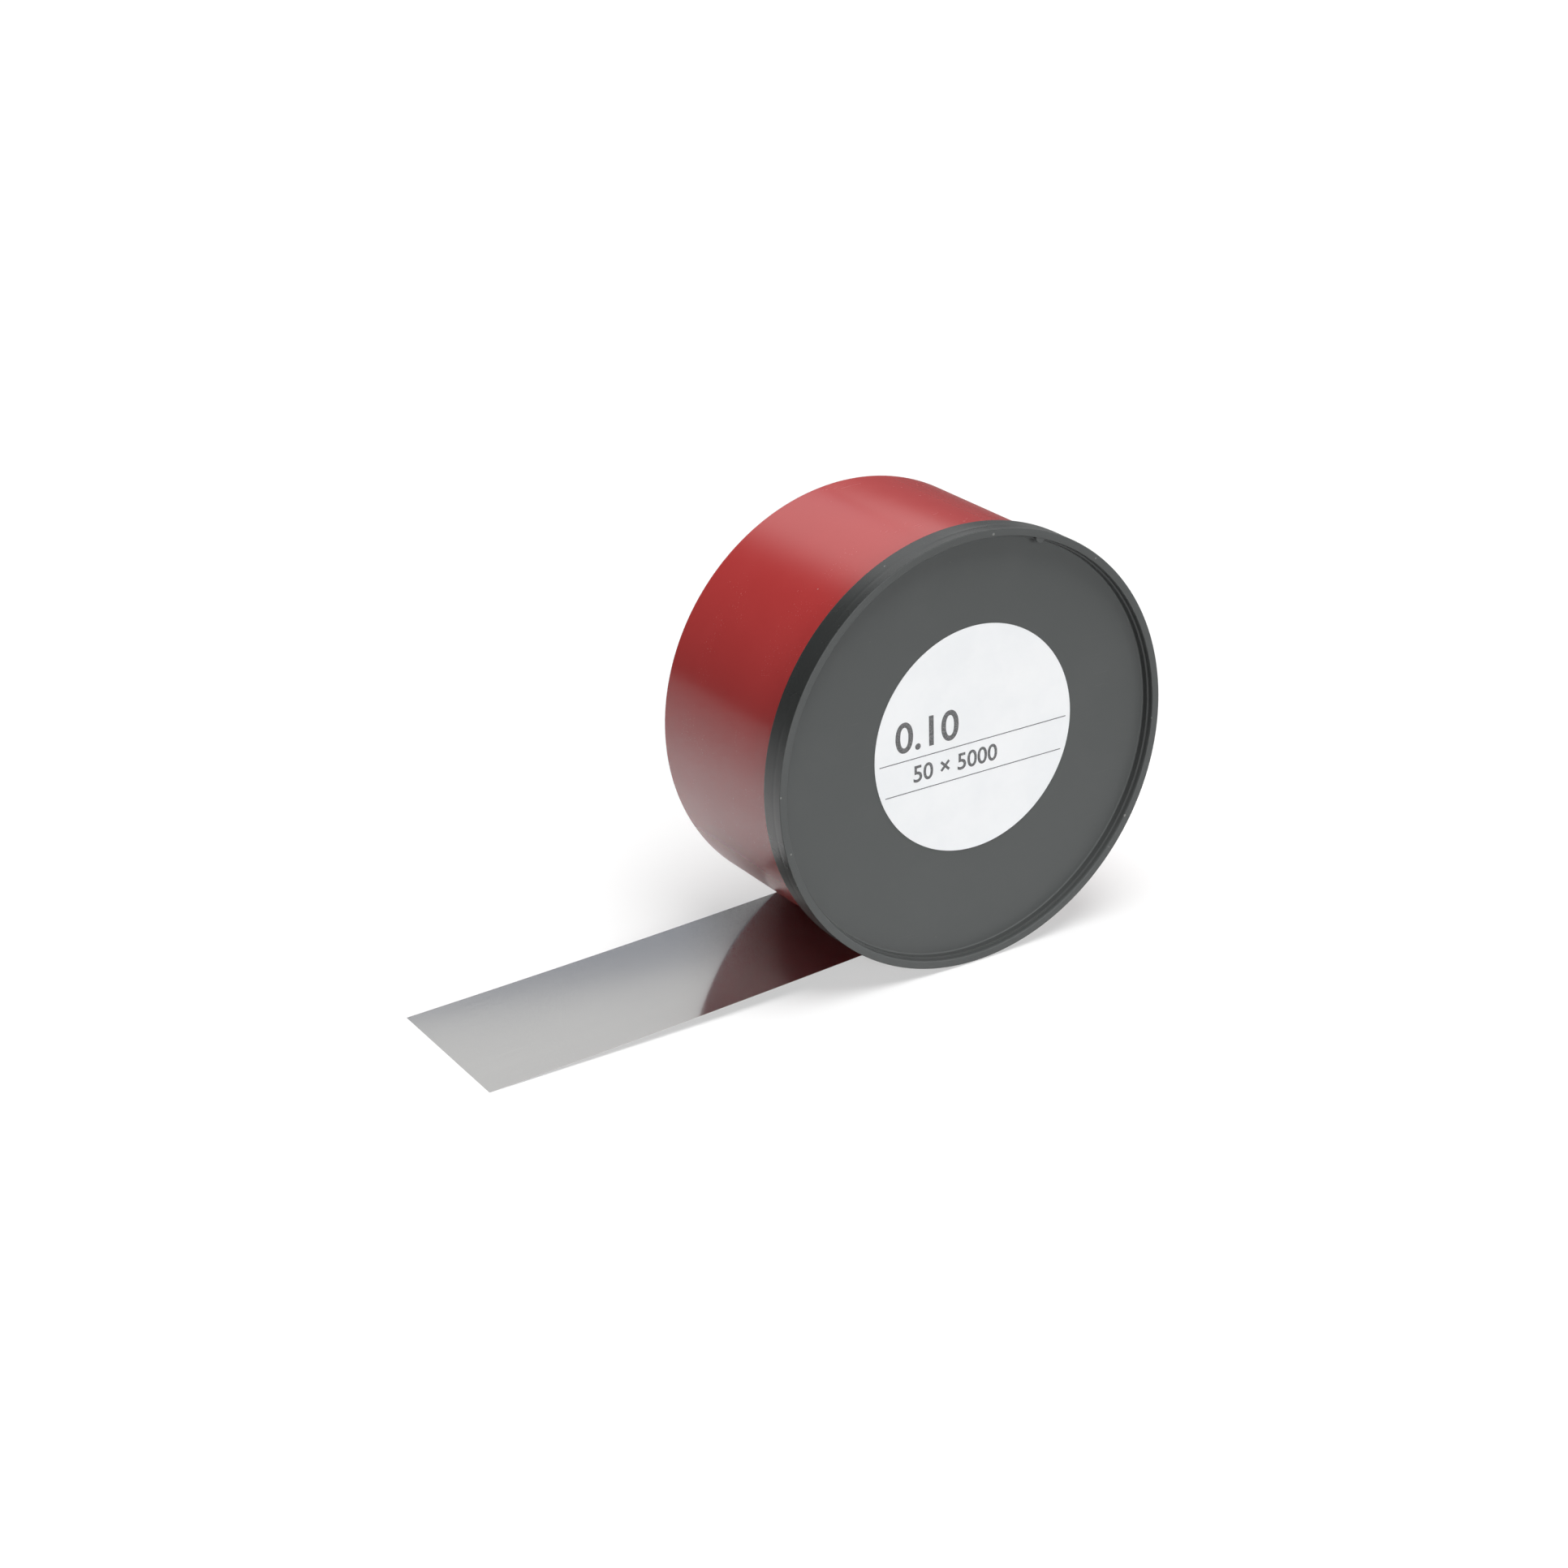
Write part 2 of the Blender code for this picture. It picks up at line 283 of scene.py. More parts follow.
# %% [markdown]
# ## The path of the strip
#
# The strip is wound in a spiral against the inside of the cup's wall. It leaves the outer turn a little
# left of the lowest point, bends over the edge of the slot and slopes down to the floor, where its tip
# lies flat. On the way it untwists from the lean of the case to level.
#
# The path is worked out from the slot inwards and outwards, as stations: a centre point, and the
# direction across the strip. The coil gets as many turns as use up the five metres.

# %% The free end, from the outer turn to its tip
STRIP_LENGTH = 5000.0
COIL_RADIUS = 62.35
EXIT_ANGLE = math.radians(15.4)
EXIT_BEND = 10.0
EXIT_SLOPE = math.radians(3.3)
TAIL_RUN = 136.1
BEND_STEPS = 12
TAIL_STEPS = 48
COIL_STEPS = 180

outer_radius = COIL_RADIUS - STRIP_THICKNESS / 2
middle_depth = STRIP_FRONT + STRIP_WIDTH / 2


def bend_stations():
    """Stations of the bend over the slot's edge, from the outer turn outwards."""
    pivot = -(outer_radius + EXIT_BEND) * Vector((math.sin(EXIT_ANGLE), 0, math.cos(EXIT_ANGLE)))
    for step in range(BEND_STEPS + 1):
        rise = EXIT_ANGLE - (EXIT_ANGLE + EXIT_SLOPE) * step / BEND_STEPS
        place = pivot + Vector((math.sin(rise), 0, math.cos(rise))) * EXIT_BEND
        yield case_matrix @ ((place + Vector((0, middle_depth, 0))) * MM), case_back


def tail_stations(start):
    """Stations from the slot to the tip, which come down to the floor and untwist on the way."""
    run_length = TAIL_RUN * MM
    drop = start.z - STRIP_THICKNESS / 2 * MM
    exit_slope = math.tan(EXIT_SLOPE)
    tip_slope = 2 * drop / run_length - exit_slope
    for step in range(1, TAIL_STEPS + 1):
        share = step / TAIL_STEPS
        run = run_length * share
        slope = exit_slope + (tip_slope - exit_slope) * share
        height = start.z - run * (exit_slope + slope) / 2
        twist = case_lean * (1 - share)
        yield (Vector((start.x - run, start.y, height)),
               Vector((0, math.cos(twist), -math.sin(twist))))


free_end = list(bend_stations())
free_end += list(tail_stations(free_end[-1][0]))
free_length = sum((b[0] - a[0]).length for a, b in zip(free_end, free_end[1:])) / MM
print("the free end is", round(free_length, 1), "mm long")

# %% The coil, from the outer turn inwards
def coil_station(turns_in):
    """The station that many turns inside the point where the strip leaves the coil."""
    radius = outer_radius - turns_in * STRIP_THICKNESS
    angle = EXIT_ANGLE - 2 * math.pi * turns_in
    place = Vector((-radius * math.sin(angle), middle_depth, -radius * math.cos(angle)))
    return case_matrix @ (place * MM), case_back


def coil_length(turns):
    """Length of that many turns, at the mean radius of the spiral."""
    return 2 * math.pi * turns * (outer_radius - turns * STRIP_THICKNESS / 2)


coil_turns = 1.0
while coil_length(coil_turns) < STRIP_LENGTH - free_length:
    coil_turns += 1 / COIL_STEPS
coil = [coil_station(step / COIL_STEPS) for step in range(1, round(coil_turns * COIL_STEPS))]
stations = coil[::-1] + free_end
print("the coil has", round(coil_turns, 2), "turns, and the strip has", len(stations), "stations")

# %% [markdown]
# ## The strip
#
# A coil could be drawn as rings, but a real one is a single long strip, and then its turns and its two
# ends come out right by themselves. So the strip starts as it comes off the rolling mill: a flat grid,
# five metres long and fifty millimetres wide. Its columns of points are then laid on the stations. Its
# UV map keeps the flat places in metres, so the grain can follow the steel round every turn. The sheet
# gets its thickness last. It is a little thinner than the pitch of the turns, as there is always some
# air in a coil.

# %% A flat strip, wound onto its path
AIR_IN_COIL = 0.006

bpy.ops.object.select_all(action="DESELECT")
bpy.ops.mesh.primitive_grid_add(x_subdivisions=len(stations) - 1, y_subdivisions=2, size=1)
shim_strip = bpy.context.object
shim_strip.name = shim_strip.data.name = "shim_strip"
bpy.ops.transform.resize(value=(STRIP_LENGTH * MM, STRIP_WIDTH * MM, 1))
bpy.ops.object.transform_apply(location=True, rotation=True, scale=True)
shim_strip.data.uv_layers[0].name = "flat_strip"

centres = np.array([centre for centre, _ in stations])
sideways = np.array([side for _, side in stations])
along = np.concatenate([[0], np.cumsum(np.linalg.norm(np.diff(centres, axis=0), axis=1))])
print("length along the stations in mm", round(along[-1] / MM, 2))

flat = np.zeros(len(shim_strip.data.vertices) * 3)
shim_strip.data.vertices.foreach_get("co", flat)
flat = flat.reshape(-1, 3)
column = np.rint((flat[:, 0] / (STRIP_LENGTH * MM) + 0.5) * (len(stations) - 1)).astype(int)
wound = centres[column] + sideways[column] * flat[:, 1:2]
shim_strip.data.vertices.foreach_set("co", wound.ravel())
for loop in shim_strip.data.loops:
    place = (along[column[loop.vertex_index]], flat[loop.vertex_index, 1])
    shim_strip.data.uv_layers[0].data[loop.index].uv = place
shim_strip.data.update()

# %% Its thickness
apply_modifier(shim_strip, "SOLIDIFY", thickness=(STRIP_THICKNESS - AIR_IN_COIL) * MM, offset=0)
only(shim_strip)
bpy.ops.object.shade_smooth_by_angle(angle=SMOOTH_ANGLE)
report(shim_strip)

# %% [markdown]
# ## The slot
#
# The strip crosses the wall of the cup at a low angle, so the slot is cut along the strip: a thin box
# with rounded edges is laid on the path, and a Boolean modifier takes it out of the wall.

# %% Cutting the slot
SLOT_HEIGHT = 1.8
SLOT_SIDE_CLEARANCE = 0.8
SLOT_ROUNDING = 0.4

slot_middle, _ = free_end[BEND_STEPS]
slot_run = 2 * math.sqrt(CASE_RADIUS ** 2 - CASE_BORE ** 2)
bpy.ops.object.select_all(action="DESELECT")
bpy.ops.mesh.primitive_cube_add(size=1)
slot_cutter = bpy.context.object
slot_width = STRIP_WIDTH + 2 * SLOT_SIDE_CLEARANCE
slot_cutter.scale = Vector((slot_run, slot_width, SLOT_HEIGHT)) * MM
bpy.ops.object.transform_apply(location=False, rotation=False, scale=True)
bpy.ops.object.mode_set(mode="EDIT")
long_edges = select("EDGE", lambda edge: abs(edge.verts[0].co.x - edge.verts[1].co.x) > MM)
bpy.ops.mesh.bevel(offset=SLOT_ROUNDING * MM, segments=ROUND_STEPS, affect="EDGES")
bpy.ops.object.mode_set(mode="OBJECT")
slot_cutter.matrix_world = (Matrix.Translation(case_matrix.inverted() @ slot_middle)
                            @ Matrix.Rotation(-EXIT_SLOPE, 4, "Y"))
apply_modifier(case_shell, "BOOLEAN", object=slot_cutter, operation="DIFFERENCE", solver="EXACT")
bpy.data.objects.remove(slot_cutter)
print("the slot is", slot_width, "by", SLOT_HEIGHT, "mm, with", long_edges, "rounded edges")
smooth(case_shell)
stand_in_case(case_shell)

# %% [markdown]
# ## The lid
#
# The lid is a shallow black cap. Its skirt grips the outside of the cup, and its face lies deeper than
# its rim, with a narrow ledge halfway down. All of that is one profile. The plastic is thickest where
# the skirt meets the face, and there it sank in by a hair as it cooled, which draws a faint line round
# the skirt.

# %% The lid as a turned cap
FACE_FILLET = 0.4
LEDGE_ROUNDING = 0.2
LEDGE_FILLET = 0.15
RIM_ROUNDING = 0.25
SKIRT_ROUNDING = 0.3
SKIRT_LEAD_IN = 0.4
SINK_DEPTH = 3.4
SINK_WIDTH = 0.8
SINK_IN = 0.04
SINK_ROUNDING = 0.35

rim_inner = LID_RADIUS - RIM_WIDTH
ledge_outer = rim_inner - RECESS_DRAFT
ledge_inner = ledge_outer - LEDGE_WIDTH
lid_moulding = draw_profile("lid_moulding", [
    (0, FACE_DEPTH, 0),
    (ledge_inner - RECESS_DRAFT, FACE_DEPTH, FACE_FILLET),
    (ledge_inner, LEDGE_DEPTH, LEDGE_ROUNDING),
    (ledge_outer, LEDGE_DEPTH, LEDGE_FILLET),
    (rim_inner, 0, RIM_ROUNDING),
    (LID_RADIUS, 0, RIM_ROUNDING),
    (LID_RADIUS, SINK_DEPTH - SINK_WIDTH, SINK_ROUNDING),
    (LID_RADIUS - SINK_IN, SINK_DEPTH, SINK_ROUNDING),
    (LID_RADIUS, SINK_DEPTH + SINK_WIDTH, SINK_ROUNDING),
    (LID_RADIUS, SKIRT_DEPTH, SKIRT_ROUNDING),
    (SKIRT_BORE, SKIRT_DEPTH, SKIRT_LEAD_IN),
    (SKIRT_BORE, FACE_DEPTH + LID_PLATE, 0),
    (0, FACE_DEPTH + LID_PLATE, 0),
])
turn_profile(lid_moulding)
report(lid_moulding)

# %% [markdown]
# The mould filled the lid through one gate, near the top right. It left half a small round tab on the
# rim's inner edge, a hair below its front. It could be pulled out of the rim's own faces, but those are
# long and narrow there. A thin round disc with a softened front edge is cleaner: it is sunk half in the
# rim and joined to the lid by a Boolean, so that the lid stays one closed skin.

# %% The gate mark
GATE_MARK_RADIUS = 1.5
GATE_MARK_SPREAD = 0.1
GATE_MARK_HEIGHT = 0.45
GATE_MARK_ANGLE = math.radians(69)
GATE_MARK_SINK = 0.2
GATE_MARK_ROUNDING = 0.3
GATE_MARK_STEPS = 40

bpy.ops.object.select_all(action="DESELECT")
bpy.ops.mesh.primitive_cone_add(vertices=GATE_MARK_STEPS, depth=GATE_MARK_HEIGHT * MM,
                                radius1=(GATE_MARK_RADIUS + GATE_MARK_SPREAD) * MM,
                                radius2=GATE_MARK_RADIUS * MM)
gate_mark = bpy.context.object
bpy.ops.object.mode_set(mode="EDIT")
select("EDGE", lambda edge: all(vert.co.z > 0 for vert in edge.verts))
bpy.ops.mesh.bevel(offset=GATE_MARK_ROUNDING * MM, segments=ROUND_STEPS, affect="EDGES")
bpy.ops.object.mode_set(mode="OBJECT")
mark_place = Vector((rim_inner * math.cos(GATE_MARK_ANGLE), GATE_MARK_SINK + GATE_MARK_HEIGHT / 2,
                     rim_inner * math.sin(GATE_MARK_ANGLE))) * MM
gate_mark.matrix_world = Matrix.Translation(mark_place) @ Matrix.Rotation(math.pi / 2, 4, "X")
apply_modifier(lid_moulding, "BOOLEAN", object=gate_mark, operation="UNION", solver="EXACT")
bpy.data.objects.remove(gate_mark)
smooth(lid_moulding)
stand_in_case(lid_moulding)

# %% [markdown]
# ## The label
#
# The label is a round of coated paper, stuck a little high and to the right of the lid's middle. It
# has plain numbers, the sizes of the steel in millimetres, between ruled lines. Paper and ink could be
# one mesh with two colours. Here the ink is a piece of its own, a hair thick and sunk a little in the
# paper, so its edges stay sharp at any distance.

# %% The paper
LABEL_RADIUS = 34.5
LABEL_THICKNESS = 0.15
LABEL_GLUE = 0.05
LABEL_ROUNDING = 0.03
LABEL_MIDDLE = Vector((1.9, 0, 2.9))

label_front = FACE_DEPTH - LABEL_GLUE - LABEL_THICKNESS
label_disc = draw_profile("label_disc", [
    (0, label_front, 0),
    (LABEL_RADIUS, label_front, LABEL_ROUNDING),
    (LABEL_RADIUS, FACE_DEPTH - LABEL_GLUE, 0),
    (0, FACE_DEPTH - LABEL_GLUE, 0),
])
turn_profile(label_disc)
smooth(label_disc)
label_disc.location = LABEL_MIDDLE * MM
stand_in_case(label_disc)

# %% Helpers for the ink
INK_HEIGHT = 0.02
INK_SUNK = 0.004
RULE_HEIGHT = 0.28
RULE_MARGIN = 1.6


def ink_number(text, left, base, size, weight):
    """A number on the label: its left end and its base line are in mm from the label's middle."""
    bpy.ops.object.select_all(action="DESELECT")
    bpy.ops.object.text_add(location=(left * MM, base * MM, 0))
    number = bpy.context.object
    number.data.body = text
    number.data.size = size * MM
    number.data.offset = weight * MM
    number.data.extrude = INK_HEIGHT / 2 * MM
    bpy.ops.object.convert(target="MESH")
    bpy.ops.object.transform_apply(location=True, rotation=True, scale=True)
    bpy.ops.object.mode_set(mode="EDIT")
    bpy.ops.mesh.select_all(action="SELECT")
    bpy.ops.mesh.remove_doubles(threshold=TOUCH)
    bpy.ops.object.mode_set(mode="OBJECT")
    return number


def ink_rule(height):
    """A ruled line right across the label, at that height in mm above its middle."""
    half = math.sqrt(LABEL_RADIUS ** 2 - height ** 2) - RULE_MARGIN
    bpy.ops.object.select_all(action="DESELECT")
    bpy.ops.mesh.primitive_cube_add(size=MM, location=(0, height * MM, 0),
                                    scale=(2 * half, RULE_HEIGHT, INK_HEIGHT))
    bpy.ops.object.transform_apply(location=True, rotation=True, scale=True)
    return bpy.context.object


# %% The numbers and the rules
ink = [
    ink_number("0.10", left=-27.5, base=1.6, size=13.0, weight=0.18),
    ink_number("50 × 5000", left=-21.5, base=-8.6, size=7.2, weight=0.1),
    ink_rule(height=-1.2),
    ink_rule(height=-11.2),
]
bpy.ops.object.select_all(action="DESELECT")
for part in ink:
    part.select_set(True)
bpy.context.view_layer.objects.active = ink[0]
bpy.ops.object.join()
label_print = bpy.context.object
label_print.name = label_print.data.name = "label_print"
ink_depth = label_front - INK_HEIGHT / 2 + INK_SUNK
label_print.matrix_world = (Matrix.Translation((LABEL_MIDDLE + Vector((0, ink_depth, 0))) * MM)
                            @ Matrix.Rotation(math.pi / 2, 4, "X"))
stand_in_case(label_print)

# %% [markdown]
# ## Finishes
#
# The plastics, the paper and the ink share some small effects, in different strengths. Those are node
# groups, built once: where a point lies on the round case, a fine grain, specks of dust, fine scratches,
# and wear along an edge. Pictures of real surfaces could do the same, but nodes stay sharp at any
# distance and follow the case's own sizes.

# %% Helpers for nodes
def add(tree, kind, links=(), **values):
    """Add a node: values are sockets by name or attributes, and links are (input, output socket)."""
    node = tree.nodes.new(kind)
    for name, value in values.items():
        if hasattr(node, name):
            setattr(node, name, value)
        else:
            node.inputs[name.replace("_", " ")].default_value = value
    for name, source in links:
        tree.links.new(source, node.inputs[name])
    return node


def maths(tree, operation, *terms):
    """A Math node whose terms are numbers or output sockets. Gives its output."""
    node = tree.nodes.new("ShaderNodeMath")
    node.operation = operation
    for place, term in enumerate(terms):
        if isinstance(term, (int, float)):
            node.inputs[place].default_value = term
        else:
            tree.links.new(term, node.inputs[place])
    return node.outputs[0]


def ramp(tree, value, low, high, to_low=0.0, to_high=1.0):
    """A Map Range node that eases from one value to another between low and high."""
    node = add(tree, "ShaderNodeMapRange", [("Value", value)], interpolation_type="SMOOTHSTEP",
               From_Min=low, From_Max=high, To_Min=to_low, To_Max=to_high)
    return node.outputs["Result"]


def hypotenuse(tree, first, second):
    """The long side of a triangle, from the two sides that meet squarely."""
    squares = [maths(tree, "POWER", side, 2.0) for side in (first, second)]
    return maths(tree, "SQRT", maths(tree, "ADD", *squares))


# %% Helpers for node groups
def new_group(name, inputs, outputs):
    """A shader node group with these named sockets. Gives the tree, its inputs and its output node."""
    tree = bpy.data.node_groups.new(name, "ShaderNodeTree")
    for socket, kind in inputs.items():
        tree.interface.new_socket(socket, in_out="INPUT", socket_type="NodeSocket" + kind)
    for socket, kind in outputs.items():
        tree.interface.new_socket(socket, in_out="OUTPUT", socket_type="NodeSocket" + kind)
    return tree, tree.nodes.new("NodeGroupInput").outputs, tree.nodes.new("NodeGroupOutput").inputs


def use_group(tree, group, links=(), **values):
    """Place a node group in a material and set its inputs. Gives its outputs."""
    return add(tree, "ShaderNodeGroup", links, node_tree=group, **values).outputs


# %% Where a point lies on the case
place_group, given, gives = new_group(
    "place_on_case", {"Object": "Vector"}, {"Place": "Vector", "Radius": "Float", "Depth": "Float"})
upright = add(place_group, "ShaderNodeMapping", [("Vector", given["Object"])], vector_type="TEXTURE",
              Location=rim_centre, Rotation=(-case_lean, 0, 0)).outputs["Vector"]
split = add(place_group, "ShaderNodeSeparateXYZ", [("Vector", upright)]).outputs
place_group.links.new(upright, gives["Place"])
place_group.links.new(hypotenuse(place_group, split["X"], split["Z"]), gives["Radius"])
place_group.links.new(split["Y"], gives["Depth"])

# %% [markdown]
# Grain is a fine noise for the surface itself and a broad one for the places that many hands have
# polished or dulled. The materials let them move the height, the gloss or the colour, each by a little.

# %% Grain and handling
grain_group, given, gives = new_group(
    "grain", {"Vector": "Vector", "Fine Scale": "Float", "Broad Scale": "Float"},
    {"Fine": "Float", "Broad": "Float"})
for output, scale, detail in (("Fine", "Fine Scale", 3.0), ("Broad", "Broad Scale", 4.0)):
    noise = add(grain_group, "ShaderNodeTexNoise",
                [("Vector", given["Vector"]), ("Scale", given[scale])], Detail=detail, Roughness=0.6)
    grain_group.links.new(noise.outputs["Fac"], gives[output])

# %% [markdown]
# Dust is a Voronoi pattern of which only the cells' middles are kept, and of those only a few, picked
# by the cell's own random colour. Scratches are a noise pulled out long, of which only the highest
# ridges are kept, and those only in some places.

# %% Dust specks
dust_group, given, gives = new_group(
    "dust", {"Vector": "Vector", "Scale": "Float", "Size": "Float", "Amount": "Float"},
    {"Mask": "Float"})
cells = add(dust_group, "ShaderNodeTexVoronoi",
            [("Vector", given["Vector"]), ("Scale", given["Scale"])], Randomness=1.0).outputs
pick = add(dust_group, "ShaderNodeSeparateColor", [("Color", cells["Color"])]).outputs
near = maths(dust_group, "LESS_THAN", cells["Distance"],
             maths(dust_group, "MULTIPLY", given["Size"], pick["Green"]))
chosen = maths(dust_group, "LESS_THAN", pick["Red"], given["Amount"])
dust_group.links.new(maths(dust_group, "MULTIPLY", near, chosen), gives["Mask"])

# %% Fine scratches
SCRATCH_STRETCH = (60.0, 2600.0, 2600.0)
SCRATCH_LINE = (0.70, 0.76)
SCRATCHED_PLACE = (0.5, 0.7)

scratch_group, given, gives = new_group(
    "scratches", {"Vector": "Vector", "Turn": "Vector", "Amount": "Float"}, {"Mask": "Float"})
turned = add(scratch_group, "ShaderNodeMapping",
             [("Vector", given["Vector"]), ("Rotation", given["Turn"])],
             Scale=SCRATCH_STRETCH).outputs["Vector"]
lines = add(scratch_group, "ShaderNodeTexNoise", [("Vector", turned)],
            Scale=1.0, Detail=1.0).outputs["Fac"]
where = add(scratch_group, "ShaderNodeTexNoise", [("Vector", given["Vector"])],
            Scale=70.0, Detail=2.0).outputs["Fac"]
line = ramp(scratch_group, lines, *SCRATCH_LINE)
scratched = ramp(scratch_group, where, *SCRATCHED_PLACE)
shown = maths(scratch_group, "MULTIPLY", scratched, given["Amount"])
scratch_group.links.new(maths(scratch_group, "MULTIPLY", line, shown), gives["Mask"])

# %% [markdown]
# Wear needs no painting: an edge of a turned piece is a radius and a depth, so how near a point lies to
# it can be worked out, and a noise breaks the worn line up into patches.

# %% Wear along a turned edge
RUBBED_PLACE = (0.5, 0.72)

wear_group, given, gives = new_group(
    "edge_wear", {"Vector": "Vector", "Radius": "Float", "Depth": "Float", "Edge Radius": "Float",
                  "Edge Depth": "Float", "Width": "Float"}, {"Mask": "Float"})
off_radius = maths(wear_group, "SUBTRACT", given["Radius"], given["Edge Radius"])
off_depth = maths(wear_group, "SUBTRACT", given["Depth"], given["Edge Depth"])
distance = hypotenuse(wear_group, off_radius, off_depth)
closeness = maths(wear_group, "SUBTRACT", 1.0, maths(wear_group, "DIVIDE", distance, given["Width"]))
patches = add(wear_group, "ShaderNodeTexNoise", [("Vector", given["Vector"])],
              Scale=420.0, Detail=5.0, Roughness=0.7).outputs["Fac"]
near = ramp(wear_group, closeness, 0.0, 1.0)
rubbed = ramp(wear_group, patches, *RUBBED_PLACE)
wear_group.links.new(maths(wear_group, "MULTIPLY", near, rubbed), gives["Mask"])
print("node groups:", sorted(group.name for group in bpy.data.node_groups))


# %% Helpers for materials
def new_material(name, **sockets):
    """A material with a Principled BSDF. Sockets that are the same all over are set here."""
    material = bpy.data.materials.new(name)
    material.use_nodes = True
    tree = material.node_tree
    shader = tree.nodes["Principled BSDF"]
    for socket, value in sockets.items():
        shader.inputs[socket.replace("_", " ")].default_value = value
    coordinates = tree.nodes.new("ShaderNodeTexCoord").outputs
    return material, tree, shader, coordinates


def blend_colours(tree, mask, first, second):
    """Mix two colours, each a tuple or an output socket, by a mask. Gives the colour."""
    node = add(tree, "ShaderNodeMix", [("Factor", mask)], data_type="RGBA")
    for socket, colour in ((node.inputs[6], first), (node.inputs[7], second)):
        if isinstance(colour, tuple):
            socket.default_value = (*colour, 1.0)
        else:
            tree.links.new(colour, socket)
    return node.outputs[2]


def lay_over(tree, colour, layers):
    """Lay thin colours over a base. Each layer is a mask, its strength at most, and its colour."""
    for mask, strength, over in layers:
        colour = blend_colours(tree, maths(tree, "MULTIPLY", mask, strength), colour, over)
    return colour


def bump(tree, shader, height, strength, distance):
    """Feed a height in metres into the shader's normal."""
    node = add(tree, "ShaderNodeBump", [("Height", height)], Strength=strength, Distance=distance)
    tree.links.new(node.outputs["Normal"], shader.inputs["Normal"])


def report_material(material):
    """Print how many nodes a material has."""
    print(f"{material.name}: {len(material.node_tree.nodes)} nodes")


# %% [markdown]
# ## Red plastic
#
# The cup is a glossy red moulding: one clear reflection of the studio, edges of the reflections a few
# millimetres soft, and hardly any texture. The life of the surface is in small things: a cloudy change
# of gloss where it has been handled, some dust, a few fine scratches, and paler edges.
#
# A clear coat could give the gloss, but a moulding has none. Instead its IOR is set higher than that of
# real plastic, until the case mirrors its surroundings as strongly as it does in the photograph.

# %% Marks on the red plastic
red_plastic, tree, shader, coordinates = new_material("red_plastic", IOR=1.78)
place = use_group(tree, place_group, [("Object", coordinates["Object"])])
grain = use_group(tree, grain_group, [("Vector", place["Place"])], Fine_Scale=900.0, Broad_Scale=34.0)
dust = use_group(tree, dust_group, [("Vector", place["Place"])], Scale=260.0, Size=0.09, Amount=0.05)
scratches = use_group(tree, scratch_group, [("Vector", place["Place"])],
                      Turn=(0.3, 0.2, 1.1), Amount=1.0)
wear = use_group(tree, wear_group, [("Vector", place["Place"]), ("Radius", place["Radius"]),
                                    ("Depth", place["Depth"])],
                 Edge_Radius=CASE_RADIUS * MM, Edge_Depth=CASE_LENGTH * MM, Width=1.6 * MM)

# %% Colour and gloss of the red plastic
DEEP_RED = (0.465, 0.036, 0.035)
HANDLED_RED = (0.48, 0.04, 0.039)
RUBBED_RED = (0.62, 0.14, 0.13)
SCRATCHED_RED = (0.6, 0.16, 0.16)
DUST_ON_RED = (0.6, 0.5, 0.48)
RED_ROUGHNESS = (0.19, 0.215)
SCRATCH_ROUGHNESS = 0.2

red = blend_colours(tree, ramp(tree, grain["Broad"], 0.35, 0.7), DEEP_RED, HANDLED_RED)
red = lay_over(tree, red, [(wear["Mask"], 0.5, RUBBED_RED),
                           (scratches["Mask"], 0.35, SCRATCHED_RED),
                           (dust["Mask"], 0.5, DUST_ON_RED)])
tree.links.new(red, shader.inputs["Base Color"])
gloss = ramp(tree, grain["Broad"], 0.3, 0.75, *RED_ROUGHNESS)
gloss = maths(tree, "ADD", gloss, maths(tree, "MULTIPLY", scratches["Mask"], SCRATCH_ROUGHNESS))
tree.links.new(gloss, shader.inputs["Roughness"])
bump(tree, shader, grain["Fine"], strength=0.04, distance=0.05 * MM)
report_material(red_plastic)

# %% [markdown]
# ## Black plastic
#
# The lid is a matte black that reads as dark grey, because the mould left a fine texture that scatters
# the light. The walls and the ledge of its recess get a darker colour, which is painted shade where real
# shade falls. The outside of its skirt is satin. The edges have been rubbed pale in places, and dust
# shows on it more than on anything else.
#
# Four materials on four sets of faces could do this, but their borders would be hard. Here one material
# asks every point for its radius and depth, and eases from one shade to the next.

# %% Marks on the black plastic
black_plastic, tree, shader, coordinates = new_material("black_plastic")
place = use_group(tree, place_group, [("Object", coordinates["Object"])])
grain = use_group(tree, grain_group, [("Vector", place["Place"])], Fine_Scale=1500.0, Broad_Scale=40.0)
dust = use_group(tree, dust_group, [("Vector", place["Place"])], Scale=330.0, Size=0.14, Amount=0.16)
scratches = use_group(tree, scratch_group, [("Vector", place["Place"])],
                      Turn=(0.1, 0.9, 0.2), Amount=1.0)
wears = [use_group(tree, wear_group, [("Vector", place["Place"]), ("Radius", place["Radius"]),
                                      ("Depth", place["Depth"])],
                   Edge_Radius=radius * MM, Edge_Depth=depth * MM, Width=0.9 * MM)["Mask"]
         for radius, depth in ((LID_RADIUS, 0.0), (rim_inner, 0.0), (LID_RADIUS, SKIRT_DEPTH))]
wear = maths(tree, "MAXIMUM", wears[0], maths(tree, "MAXIMUM", wears[1], wears[2]))

# %% Where the skirt and the recess are
SKIRT_SKIN = (LID_RADIUS - 0.5, LID_RADIUS - 0.1)
SKIRT_START = (0.0, 0.12)
RECESS_TOP = (0.3, 0.9)
RECESS_BOTTOM = (FACE_DEPTH - 0.45, FACE_DEPTH - 0.1)


def ramp_mm(tree, value, span, to_low=0.0, to_high=1.0):
    """A ramp over a radius or a depth, between two places given in mm."""
    return ramp(tree, value, span[0] * MM, span[1] * MM, to_low, to_high)


